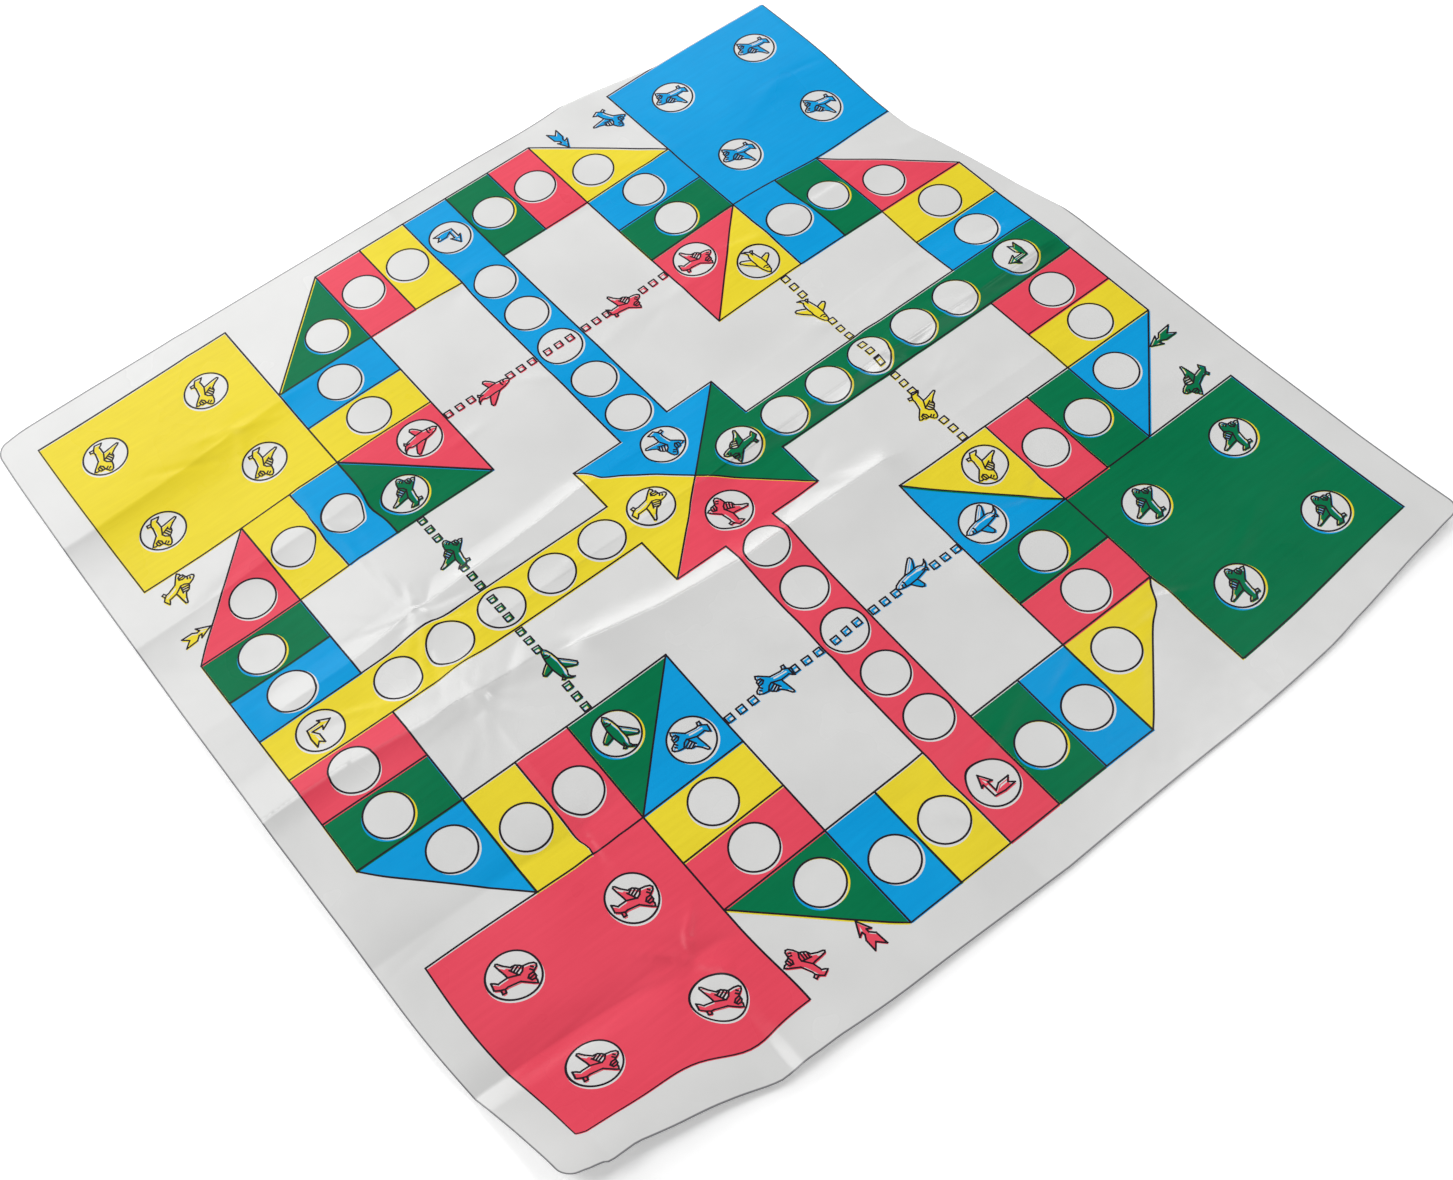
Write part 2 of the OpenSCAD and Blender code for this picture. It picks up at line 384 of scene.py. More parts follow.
# Lines along the sheet from left to right: its edges, its creases and a soft dip beside one of them
EDGE_L, OUTER_L, SECOND_L, INNER_L, MIDDLE, INNER_R, SECOND_R, OUTER_R, EDGE_R = (
    np.round([LEFT, *CREASES, RIGHT], 1).tolist()
)
SOFT_DIP = -36
LONG_LINES = [EDGE_L, OUTER_L, SECOND_L, SOFT_DIP, INNER_L, MIDDLE, INNER_R, SECOND_R, OUTER_R, EDGE_R]
# Creases across the sheet
NEAR_CROSS, MIDDLE_CROSS, FAR_CROSS = -101.5, -8.5, 86
# Heights on the long lines at places from the near edge to the far edge
CREASE_MAP = [
    (-180, [2.2, 2.6, 1.8, 2.4, 2.8, 3.6, 4.2, 2.0, 1.7, 2.6]),
    (-140, [2.2, 2.5, 1.6, 2.4, 2.6, 3.5, 4.2, 1.2, 1.3, 2.2]),
    (-102, [2.4, 2.8, 2.0, 2.8, 2.8, 3.5, 4.2, 0.8, 1.0, 2.0]),
    (-55, [2.9, 3.2, 2.6, 2.4, 2.6, 3.2, 3.9, 1.2, 0.4, 2.4]),
    (-8.5, [3.1, 3.2, 3.2, 2.2, 2.4, 3.0, 3.6, 2.4, 0.8, 1.2]),
    (40, [3.3, 3.4, 3.8, 2.8, 2.6, 3.0, 3.4, 2.6, 0.9, 0.8]),
    (86, [3.8, 4.4, 5.2, 3.2, 2.8, 2.9, 3.0, 2.2, 0.8, 0.8]),
    (135, [4.4, 4.8, 4.6, 2.8, 2.4, 3.0, 2.5, 1.6, 1.0, 1.8]),
    (180, [4.8, 5.0, 3.4, 2.4, 2.2, 3.2, 2.4, 1.6, 2.2, 4.6]),
]
# Where a pressed crease strays from its straight line: places along it and across the sheet
STRAYS = {
    OUTER_L: [(-180, -125.3), (-130, -127), (-85, -128.5), (0, -129.5)],
    SECOND_L: [(-180, -72.4), (-115, -74.7), (-60, -73.5)],
    SOFT_DIP: [(-125, -29), (-50, -30.5), (-33, -32), (60, -35), (100, -37)],
    INNER_L: [(-125, -20.5), (-50, -24.5), (-33, -26.5), (60, -27.5), (100, -30.5)],
    MIDDLE: [(-80, -1.5), (20, -0.5)],
    INNER_R: [
        (-180, 12), (-145, 12.5), (-119, 15.5), (-98, 17.7), (-79, 18.5),
        (-60, 25), (-36, 30), (-8, 33), (60, 34),
    ],
}
# Stretches between the long lines, from left to right: how far each dips right of its left line and swells
# left of its right line, each first on the far side and then on the near side of the sheet
PANELS = [
    (0.0, 0.1, 0.0, 0.0),
    (0.1, 2.3, 0.0, 0.0),
    (0.1, 2.0, 0.0, 0.0),
    (0.0, 0.0, 0.0, 0.0),
    (0.0, 0.0, 0.0, 0.0),
    (0.0, 0.0, 0.0, 0.0),
    (0.1, 0.4, 0.0, 1.4),
    (0.1, 0.1, 0.1, 0.8),
    (0.1, 0.1, 0.0, 0.0),
]
# The length in which a dip or swell sets in, and where the near side starts and is full
DIP_R = 8.0
NEAR_SIDE = (-60, -120)
# Narrow ridges on the creases: crease, near end, far end, rise, reach to the left and to the right
RIDGES = [
    (INNER_L, -160, -15, 1.05, 8, 18),
    (INNER_L, -25, 130, 0.2, 8, 14),
    (MIDDLE, 0, 172, 1.8, 34, 7),
    (MIDDLE, -95, 14, 0.8, 22, 8),
    (INNER_R, -74, 64, 1.9, 9, 24),
    (INNER_R, 80, 140, 0.4, 8, 14),
    (INNER_R, -190, -70, 1.1, 18, 8),
    (OUTER_R, -196, -90, -0.9, 13, 9),
]
# The length in which a ridge runs out, how round its top is and how steeply it falls
RIDGE_END, RIDGE_ROUND, RIDGE_FALL = 14, 0.2, 1.5
# Ridges on the cross creases: crease, rise on the left and at the right end, reach
CROSS_RIDGES = [(NEAR_CROSS, 0.45, -0.3, 2.5), (MIDDLE_CROSS, 0.2, 0.2, 3), (FAR_CROSS, 0.25, 0.25, 4)]
# Where their right end starts and is full, and how round their tops are
CROSS_RIGHT_END = (90, 140)
CROSS_ROUND = 0.6
# A slow wave along the cross ridges: its mean, its swing and its length in millimetres per radian
WAVE_MEAN, WAVE_SWING, WAVE_LENGTH = 0.75, 0.25, 37
# How far the near part of the sheet sags between its left and right sides, from its near edge on
NEAR_SAG = [(-180, -0.7), (-140, -0.9), (NEAR_CROSS, 0.3), (-60, 0)]
SAG_LEFT, SAG_RIGHT = (-140, -100), (100, 50)
# The near right corner lifts right of the last crease, and the right edge bulges beside it
CORNER_LIFT = 6.4
LIFT_FROM = -102
EDGE_BULGE = [(-110, 0), (-97, 1.9), (-60, 0)]
# The lift grows on to this share past the sheet's edge, so that the edge has a slope
PAST_EDGE = 1.05
# How round a fold is, how softly the film comes down on the floor, and where its highest part levels off
FOLD_R = 0.8
SOFT_FLOOR, SOFT_FLOOR_BEND = 0.05, 4
LEVEL_FROM, TOP_LIFT = 7, 9.7

random.seed(20)


def burst(x, y, count, reach, rise):
    """Short dents that run out from a point where two creases meet."""
    out = []
    for _ in range(count):
        a = random.uniform(0, 2 * math.pi)
        d = random.uniform(0.2, 0.8) * reach
        out.append(
            (
                x + d * math.cos(a),
                y + d * math.sin(a),
                a + random.uniform(-0.4, 0.4),
                reach * random.uniform(0.3, 0.6),
                random.uniform(1.4, 2.8),
                rise * random.uniform(-1, 1),
            )
        )
    return out


# Dents: middle, direction, length, width and rise
DENTS = [
    (-25.5, -98.5, 2.75, 6, 1.7, 0.5),
    (-17, -99, 0.25, 6, 1.6, 0.4),
    (-25, -92, 2.4, 4, 2.2, -0.5),
    (20, -97.5, 0.3, 5, 1.6, -0.35),
    (143, -15, 0.7, 9, 3, 0.6),
    (121, -97, 2.5, 9, 1.8, 0.45),
    (123, -108, -2.4, 10, 1.8, 0.4),
    (138, -96, 0.6, 8, 1.8, 0.4),
    (137, -108, -0.7, 8, 1.8, -0.35),
    (129, -113, 1.57, 9, 1.6, 0.4),
    (140, 68, -0.8, 12, 3, 0.4),
]
# Bursts at every crossing, and larger ones where the near cross crease meets three long ones:
# number of dents, reach and rise
CROSSING_BURST = (4, 18, 0.22)
STAR_PLACE = -102
STARS = [(INNER_L, 8, 24, 0.4), (INNER_R, 7, 24, 0.35), (SECOND_L, 5, 22, 0.3)]
for crease in CREASES:
    for cross, *_ in CROSS_RIDGES:
        DENTS += burst(crease, cross, *CROSSING_BURST)
for crease, *star in STARS:
    DENTS += burst(crease, STAR_PLACE, *star)
# Small dents along every crease
SMALL_DENTS = 8
for crease in CREASES:
    for _ in range(SMALL_DENTS):
        DENTS.append(
            (
                crease + random.uniform(-4, 4),
                random.uniform(-170, 170),
                math.pi / 2 + random.uniform(-0.5, 0.5),
                random.uniform(7, 18),
                random.uniform(1.5, 3.0),
                random.uniform(-0.3, 0.3),
            )
        )


def progress(place, start, full, most=1.0):
    """How far a place is on the way from start to full: 0 before it, and held at most after it."""
    return np.clip((place - start) / (full - start), 0, most)


def eased(place, start, full):
    """The same progress with a soft start and end."""
    t = progress(place, start, full)
    return t * t * (3 - 2 * t)


def between(y, near_end, far_end, fade):
    """A share that is 1 along a stretch and fades inside both of its ends."""
    return eased(y, near_end, near_end + fade) * eased(y, far_end, far_end - fade)


def value_at(pairs, place):
    """The value at a place along a list of (place, value) pairs."""
    places, values = zip(*pairs)
    return np.interp(place, places, values)


def stray(line, y):
    """Where a long line runs across the sheet at places along it."""
    return value_at(STRAYS.get(line, [(0, line)]), y)


def straightened(x, y):
    """Where points would lie across the sheet if every crease ran straight."""
    runs = [stray(line, y) for line in LONG_LINES]
    out = np.array(x, float)
    for low, high, a, b in zip(LONG_LINES, LONG_LINES[1:], runs, runs[1:]):
        out = np.where((x >= a) & (x < b), low + (x - a) * (high - low) / (b - a), out)
    return out


def across(row, x):
    """Height along one row of the crease map: straight from line to line, with rounded folds."""
    steps = (-1.0, -0.5, 0.0, 0.5, 1.0)
    return sum(np.interp(x + t * FOLD_R, LONG_LINES, row) for t in steps) / len(steps)


def mapped_height(line_x, y):
    """Height from the crease map: smooth along the sheet from row to row, and on past its end rows."""
    places = np.array([place for place, _ in CREASE_MAP], float)
    rows = [across(row, line_x) for _, row in CREASE_MAP]
    rows = np.array([2 * rows[0] - rows[1]] + rows + [2 * rows[-1] - rows[-2]])
    i = np.clip(np.searchsorted(places, y) - 1, 0, len(places) - 2)
    t = np.clip((y - places[i]) / (places[i + 1] - places[i]), -0.2, 1.2)
    at = np.arange(len(y))
    a, b, c, d = (rows[i + j, at] for j in range(4))
    return b + 0.5 * t * (c - a + t * (2 * a - 5 * b + 4 * c - d + t * (3 * (b - c) + d - a)))


def panel_swell(line_x, y):
    """How far the film dips and swells between two long lines."""
    z = np.zeros(len(y))
    near_share = eased(y, *NEAR_SIDE)
    for low, high, (far_dip, near_dip, far_swell, near_swell) in zip(LONG_LINES, LONG_LINES[1:], PANELS):
        u = progress(line_x, low, high)
        past, left = u * (high - low), (1 - u) * (high - low)
        z -= (far_dip + (near_dip - far_dip) * near_share) * (1 - np.exp(-past / DIP_R)) * (1 - u)
        z += (far_swell + (near_swell - far_swell) * near_share) * (1 - np.exp(-left / DIP_R)) * u
    return z


def ridge_height(x, y):
    """The narrow ridges along the creases and across the sheet."""
    z = np.zeros(len(y))
    for line, near_end, far_end, rise, left, right in RIDGES:
        d = x - stray(line, y)
        flank = np.sqrt(d * d + RIDGE_ROUND) / np.where(d < 0, left, right)
        z += rise * between(y, near_end, far_end, RIDGE_END) * np.maximum(1 - flank, 0) ** RIDGE_FALL
    for cross, rise, right_rise, reach in CROSS_RIDGES:
        rises = rise + (right_rise - rise) * eased(x, *CROSS_RIGHT_END)
        wave = WAVE_MEAN + WAVE_SWING * np.cos(x / WAVE_LENGTH)
        z += rises * np.exp(-np.sqrt((y - cross) ** 2 + CROSS_ROUND) / reach) * wave
    return z


def corner_lift(x, y):
    """The lifted near right corner and the bulge of the edge beside it."""
    lifted = CORNER_LIFT * progress(y, LIFT_FROM, NEAR, PAST_EDGE) + value_at(EDGE_BULGE, y)
    return lifted * progress(x, OUTER_R, EDGE_R, PAST_EDGE)


def add_dents(z, x, y):
    """Adds to the heights z every dent, as far as three times its length and width."""
    for cx, cy, a, length, width, rise in DENTS:
        u = (x - cx) * math.cos(a) + (y - cy) * math.sin(a)
        v = (y - cy) * math.cos(a) - (x - cx) * math.sin(a)
        near = (np.abs(u) < 3 * length) & (np.abs(v) < 3 * width)
        z[near] += rise * np.exp(-((u[near] / length) ** 2) - (v[near] / width) ** 2)


def height(x, y):
    """Height of the film's underside over the floor at places on the flat sheet."""
    line_x = straightened(x, y)
    z = mapped_height(line_x, y) + panel_swell(line_x, y) + ridge_height(x, y) + corner_lift(x, y)
    z += value_at(NEAR_SAG, y) * eased(x, *SAG_LEFT) * eased(x, *SAG_RIGHT)
    add_dents(z, x, y)
    z = SOFT_FLOOR + np.logaddexp(0, (z - SOFT_FLOOR) * SOFT_FLOOR_BEND) / SOFT_FLOOR_BEND
    room = TOP_LIFT - LEVEL_FROM
    return np.where(z > LEVEL_FROM, LEVEL_FROM + room * np.tanh((z - LEVEL_FROM) / room), z)


# The far left corner's bare margin is turned under along both edges, on a bend of this radius
TUCK_R = 1.5
# How far the bend bites into the print, and between which places it grows along the left and far edges
TUCK_BITE = 0.7
LEFT_TUCK = (70, 114)
FAR_TUCK = (-5, -80)
# How far the film stays over the floor, and over the margin turned under it
FLOOR_GAP, TUCK_GAP = 0.03, 0.05
# Right corners that are drawn in: where the pull starts across and along the sheet, to grow to the corner,
# and its step along both sides
CORNER_PULLS = [
    (40, -60, -8.4, 3.0),
    (90, -90, -4.0, 2.5),
    (60, 60, -2.0, 0.0),
    (150, 110, -8.0, 0.0),
]
# The step of the lifted corner's tip, and where the tip starts along the sheet
TIP_STEP = (-7.5, 7.6)
TIP_FROM = -160
# How far the right edge is drawn in, from its near end to its far end, and from where across the sheet
RIGHT_RIM = [
    (-180, 2.2), (-170, 4.3), (-162, 6.9), (-150, 8.0), (-138, 6.4), (-122, 4.6), (-106, 3.4), (-97, 4.8),
    (-85, 5.3), (-40, 3.8), (0, 2.2), (60, 2.8), (125, 3), (165, 0),
]
RIGHT_RIM_FROM = 156
# How far the near edge is drawn in, from its left end to its right end, and from where along the sheet
NEAR_RIM = [(-180, 5.4), (-140, 5.0), (-90, 4.0), (-40, 3.3), (20, 3.2), (60, 3.9), (180, 4.0)]
NEAR_RIM_FROM = -155
# How far the print drifts with the film: middle, reach and step along both sides
DRIFTS = [
    (-150, -165, 70, 60, 2.8, -1.6),
    (-182, -150, 8, 60, -2.6, 0.0),
    (-180, -180, 10, 10, 1.4, 0.2),
    (-182, 60, 10, 22, 1.4, 0.0),
    (25, -165, 50, 45, -1.9, 0.5),
    (-70, 20, 40, 55, 1.6, 0.2),
    (0, 32, 60, 55, 0.0, 1.9),
    (-165, 120, 45, 60, -2.0, 0.3),
    (-95, 165, 30, 30, 1.4, -2.6),
    (110, -105, 45, 30, 1.3, 0.0),
    (165, 90, 30, 40, 1.3, -0.8),
    (129.5, -164, 28, 13, 0.0, -1.6),
    (103, -166, 30, 12, 0.0, -1.7),
    (143, -144, 16, 14, 0.0, 1.2),
    (113, -124, 9, 40, 1.6, 0.0),
    (146, -104, 16, 10, 2.4, 0.3),
    (163, -109, 9, 11, 2.4, 0.0),
    (160, -84, 18, 12, 0.0, 1.6),
    (-90, 130, 14, 22, 2.4, 0.0),
    (-56, 112, 16, 14, 0.0, 2.0),
    (-72, 101, 9, 9, 0.0, 1.2),
    (165, -122, 25, 16, -2.6, 0.0),
]
# Where one side of a crease is pushed along: crease, near end, far end and push to the right
LIPS = [(MIDDLE, 25, 172, 0.8), (INNER_L, -190, -105, 0.7), (INNER_R, -190, -110, 0.7)]
# The length in which a lip runs out, half its width at the crease and how far it reaches to the right
LIP_END, LIP_HALF, LIP_REACH = 10, 0.6, 6
# Small puckers where creases meet: middle, reach and step along both sides
PUCKERS = [
    (
        crease + random.uniform(-9, 9),
        cross + random.uniform(-9, 9),
        random.uniform(3.5, 6.5),
        random.uniform(-1, 1) * share,
        random.uniform(-1, 1) * share,
    )
    for cross, share in ((NEAR_CROSS, 1.3), (MIDDLE_CROSS, 0.7), (FAR_CROSS, 0.9))
    for crease in CREASES
    for _ in range(4)
] + [
    (-68, -87.5, 6, 0.2, -1.7),
    (-61.5, -94, 5, -1.5, 0.3),
    (-77, -100, 5, 0.8, 1.2),
    (-66, -107, 5, -1.2, -0.6),
    (-2, -98, 5, 0.3, -1.3),
    (9, -104, 5, -1.0, 0.8),
    (-25.5, -19, 4.5, 0.0, -2.2),
]


def tuck(s):
    """How far out and how far down a strip lies that is turned under, s past the start of its bend."""
    arc = np.clip(s, 0, math.pi * TUCK_R)
    rest = np.maximum(s - math.pi * TUCK_R, 0)
    out = np.sin(arc / TUCK_R) * TUCK_R - rest
    down = (1 - np.cos(arc / TUCK_R)) * TUCK_R
    return np.where(s > 0, out, s), down


def tuck_starts(x, y):
    """Where the bends start: across the sheet for the left margin and along it for the far one."""
    left_start = LEFT + (LINE_LOW[0] + TUCK_BITE - LEFT) * progress(y, *LEFT_TUCK)
    far_start = FAR + (LINE_HIGH[1] - TUCK_BITE - FAR) * progress(x, *FAR_TUCK)
    return left_start, far_start


def lay(x, y):
    """Places points of the flat sheet, in millimetres, on the creased sheet's underside."""
    left_start, far_start = tuck_starts(x, y)
    out_x, down_x = tuck(left_start - x)
    out_y, down_y = tuck(y - far_start)
    down = down_x + down_y
    px, py = left_start - out_x, far_start + out_y
    pz = np.maximum(height(x, y) - down, np.where(down > 0, FILM_T + TUCK_GAP, FLOOR_GAP))

    def step(share, dx, dy):
        nonlocal px, py
        px = px + dx * share
        py = py + dy * share

    for from_x, from_y, dx, dy in CORNER_PULLS:
        corner_y = NEAR if from_y < 0 else FAR
        step(eased(x, from_x, EDGE_R) * eased(y, from_y, corner_y), dx, dy)
    tip = progress(x, OUTER_R, EDGE_R) * progress(y, TIP_FROM, NEAR)
    step(tip, *TIP_STEP)
    step(value_at(RIGHT_RIM, y) * eased(x, RIGHT_RIM_FROM, EDGE_R), -1, 0)
    step(value_at(NEAR_RIM, x) * eased(y, NEAR_RIM_FROM, NEAR) * (1 - tip), 0, 1)
    for cx, cy, rx, ry, dx, dy in DRIFTS:
        step(np.exp(-(((x - cx) / rx) ** 2) - ((y - cy) / ry) ** 2), dx, dy)
    for cx, cy, reach, dx, dy in PUCKERS:
        step(np.exp(-((x - cx) ** 2 + (y - cy) ** 2) / reach**2), dx, dy)
    for line, near_end, far_end, push in LIPS:
        d = x - stray(line, y)
        fall = eased(d, -LIP_HALF, LIP_HALF) * np.exp(-np.maximum(d, 0) / LIP_REACH)
        step(between(y, near_end, far_end, LIP_END) * fall, push, 0)
    return np.stack([px, py, pz], 1)


# How far to both sides of a point its slope is taken
SLOPE_STEP = 0.08


def laid_normals(x, y):
    """Directions straight out of the laid sheet's printed side."""
    along_x = lay(x + SLOPE_STEP, y) - lay(x - SLOPE_STEP, y)
    along_y = lay(x, y + SLOPE_STEP) - lay(x, y - SLOPE_STEP)
    n = np.cross(along_x, along_y)
    return n / np.linalg.norm(n, axis=1, keepdims=True)


# Meshes

CORNER_STEPS = 8


def sheet_outline(inset=0.0):
    """The flat sheet's cut edge, or a line inside it."""
    points = []
    radius = CORNER_R - inset
    corners = [(RIGHT, FAR, 0), (LEFT, FAR, 90), (LEFT, NEAR, 180), (RIGHT, NEAR, 270)]
    for x, y, start in corners:
        cx = x - math.copysign(CORNER_R, x)
        cy = y - math.copysign(CORNER_R, y)
        for i in range(CORNER_STEPS + 1):
            a = math.radians(start + i * 90 / CORNER_STEPS)
            points.append((cx + radius * math.cos(a), cy + radius * math.sin(a)))
    return np.array(points)


# Width of the painted shade along the sheet's edge at full strength, and how far in it has faded
EDGE_SHADE_FULL, EDGE_SHADE_FADED = 0.35, 0.6


def edge_shade_share(x, y):
    """How much painted shade a point has along the sheet's edge: 1 at the edge, 0 inside."""
    qx = np.abs(x - (LEFT + RIGHT) / 2) - (RIGHT - LEFT) / 2 + CORNER_R
    qy = np.abs(y - (NEAR + FAR) / 2) - (FAR - NEAR) / 2 + CORNER_R
    inset = CORNER_R - np.hypot(np.maximum(qx, 0), np.maximum(qy, 0)) - np.minimum(np.maximum(qx, qy), 0)
    return np.clip((EDGE_SHADE_FADED - inset) / (EDGE_SHADE_FADED - EDGE_SHADE_FULL), 0, 1)


# Steps of the mesh on the flat sheet: all over, and where the near cross crease meets two long creases
GRID = 2.4
STAR_GRID = 1.1
STAR_MIDDLES = (-21, 19)
STAR_HALF = 13
STAR_ALONG = (-107, -88)
# Extra rows and lines beside the creases and round the turned-under margin's bends
BESIDE_CROSS = (-1.4, -0.7, 0, 0.7, 1.4)
BESIDE_CREASE = (-5.2, -4.4, -1.5, -0.8, 0, 0.8, 1.5, 4.4, 5.2)
ROUND_TUCK = (0, 0.8, 1.6, 2.4, 3.1, 3.9, 4.7)
# How close to the sheet's edge grid points and bend lines come
GRID_GAP, LINE_GAP = 0.5, 0.3
# Points this close are one, and a triangle of less than this area is dropped
MERGE, SLIVER = 1e-4, 1e-9


def split_edges(points, closed=True):
    """Adds points to an outline so that no edge is longer than the grid's step."""
    ends = np.roll(points, -1, axis=0) if closed else points[1:]
    out = []
    for a, b in zip(points, ends):
        count = max(1, math.ceil(np.linalg.norm(b - a) / GRID - 1e-6))
        out.extend(a + (b - a) * i / count for i in range(count))
    if not closed:
        out.append(points[-1])
    return np.array(out)


def grid_points():
    """Points spread over the sheet, closer together at the cross creases and where creases meet."""
    xs = np.round(np.arange(LEFT + GRID, RIGHT - GRID_GAP, GRID), 3)
    ys = set(np.round(np.arange(NEAR + GRID, FAR - GRID_GAP, GRID), 3))
    for cross, *_ in CROSS_RIDGES:
        ys |= {cross + d for d in BESIDE_CROSS}
    patches = [(xs, sorted(ys))]
    for x in STAR_MIDDLES:
        star_xs = np.arange(x - STAR_HALF, x + STAR_HALF, STAR_GRID)
        patches.append((star_xs, np.arange(*STAR_ALONG, STAR_GRID)))
    return np.concatenate([np.stack(np.meshgrid(*p), -1).reshape(-1, 2) for p in patches])


def bend_lines():
    """Lines on the flat sheet along the pressed creases and round the tucked margin's bends."""
    along = np.arange(NEAR, FAR + 0.1, GRID)
    lines = []
    for long_line in LONG_LINES[1:-1]:
        run = stray(long_line, along)
        lines += [np.stack([run + d, along], 1) for d in BESIDE_CREASE]
    left_start, far_start = tuck_starts(along, along)
    for d in ROUND_TUCK:
        left_line = np.stack([left_start - d, along], 1)
        far_line = np.stack([along, far_start + d], 1)
        lines.append(left_line[left_line[:, 0] > LEFT + LINE_GAP])
        lines.append(far_line[far_line[:, 1] < FAR - LINE_GAP])
    return [line for line in lines if len(line) > 1]


def cut_sheet(shapes):
    """Triangles of the flat sheet that follow every printed edge and every crease."""
    verts, edges = [], []

    def add_loop(points, closed=True):
        points = split_edges(points, closed)
        start = len(verts)
        n = len(points)
        verts.extend(points.tolist())
        last = n if closed else n - 1
        edges.extend((start + i, start + (i + 1) % n) for i in range(last))

    # The sheet's edge and two lines inside it, where the painted edge shade is full and where it has faded
    for inset in (0, EDGE_SHADE_FULL, EDGE_SHADE_FADED):
        add_loop(sheet_outline(inset))
    for line in bend_lines():
        add_loop(line, False)
    for c in CREASES:
        add_loop(np.array([(c, NEAR), (c, FAR)]), False)
    for kinds in shapes.values():
        for outlines in kinds.values():
            for points in outlines:
                add_loop(points)
    verts.extend(grid_points().tolist())
    out = delaunay_2d_cdt([Vector(v) for v in verts], edges, [], 0, MERGE, False)
    points = np.array([tuple(v) for v in out[0]])
    faces = np.array([f for f in out[2] if len(f) == 3])
    middles = points[faces].mean(1)
    kept = inside(sheet_outline(), middles[:, 0], middles[:, 1])
    faces, middles = faces[kept], middles[kept]
    a, b, c = (points[faces[:, i]] for i in range(3))
    area = (b[:, 0] - a[:, 0]) * (c[:, 1] - a[:, 1]) - (b[:, 1] - a[:, 1]) * (c[:, 0] - a[:, 0])
    faces[area < 0] = faces[area < 0][:, ::-1]
    solid = np.abs(area) > SLIVER
    return points, faces[solid], middles[solid]


def split_corners(faces):
    """Gives faces that only touch at a point their own copy of it.

    Returns the faces, the point that each copy stands for, and the edges of the rim.
    """
    parent = list(range(faces.size))

    def root(i):
        while parent[i] != i:
            parent[i] = parent[parent[i]]
            i = parent[i]
        return i

    seen = {}
    for f, face in enumerate(faces.tolist()):
        for i in range(3):
            j = (i + 1) % 3
            a, b = face[i], face[j]
            other = seen.pop((b, a), None)
            if other is None:
                seen[(a, b)] = (3 * f + i, 3 * f + j)
            else:
                parent[root(3 * f + i)] = root(other[1])
                parent[root(3 * f + j)] = root(other[0])
    roots = np.array([root(i) for i in range(faces.size)])
    kept, number = np.unique(roots, return_inverse=True)
    number = number.ravel()
    copies = faces.ravel()[kept]
    rim = np.array([(number[a], number[b]) for a, b in seen.values()])
    return number.reshape(-1, 3), copies, rim


def shell(name, material, faces, base, top):
    """A thin closed piece of the laid sheet from height base to height top over its underside."""
    tris, copies, rim = split_corners(faces)
    n = len(copies)
    place, normal = LAID[copies], NORMALS[copies]
    verts = np.concatenate([place + normal * top, place + normal * base]) * MM
    under = tris[:, ::-1] + n
    a, b = rim[:, 0], rim[:, 1]
    walls = np.concatenate([np.stack([b, a, a + n], 1), np.stack([b, a + n, b + n], 1)])
    every = np.concatenate([tris, under, walls])
    mesh = bpy.data.meshes.new(name)
    mesh.from_pydata(verts.tolist(), [], every.tolist())
    mesh.polygons.foreach_set("use_smooth", np.ones(len(every), bool))
    mesh.normals_split_custom_set_from_vertices(np.concatenate([normal, -normal]).tolist())
    # Share of painted shade along the sheet's edge, for the material
    edge = mesh.attributes.new("painted_edge_shade", "FLOAT", "POINT")
    edge.data.foreach_set("value", np.tile(EDGE_SHADE[copies], 2))
    mesh.materials.append(material)
    obj = bpy.data.objects.new(name, mesh)
    bpy.context.scene.collection.objects.link(obj)
    return obj


# Materials


def linear(code):
    """Linear colour of an sRGB hex value."""
    parts = [int(code[i : i + 2], 16) / 255 for i in (1, 3, 5)]
    return tuple(p / 12.92 if p <= 0.04045 else ((p + 0.055) / 1.055) ** 2.4 for p in parts) + (1.0,)


def add_node(tree, kind, links=(), **settings):
    """Adds a node, sets its properties and inputs by name, and links (socket, input) pairs into it."""
    node = tree.nodes.new(kind)
    for key, value in settings.items():
        if hasattr(node, key):
            setattr(node, key, value)
        else:
            node.inputs[key.replace("_", " ")].default_value = value
    for source, target in links:
        tree.links.new(source, node.inputs[target])
    return node


# Patterns of film and ink, in millimetres: press streaks, cloudiness and cockles
STREAK_WIDTH, STREAK_LENGTH = 1.6, 18
CLOUD = 35
COCKLE, COCKLE_DEPTH = 9, 0.3
# The part of a noise's range that is spread over a pattern, and how far roughness strays from its mean
NOISE_LOW, NOISE_HIGH = 0.3, 0.7
ROUGH_SPREAD = 0.05
# Grey of the painted shade along the sheet's edge
EDGE_SHADE_GREY = "#77777a"


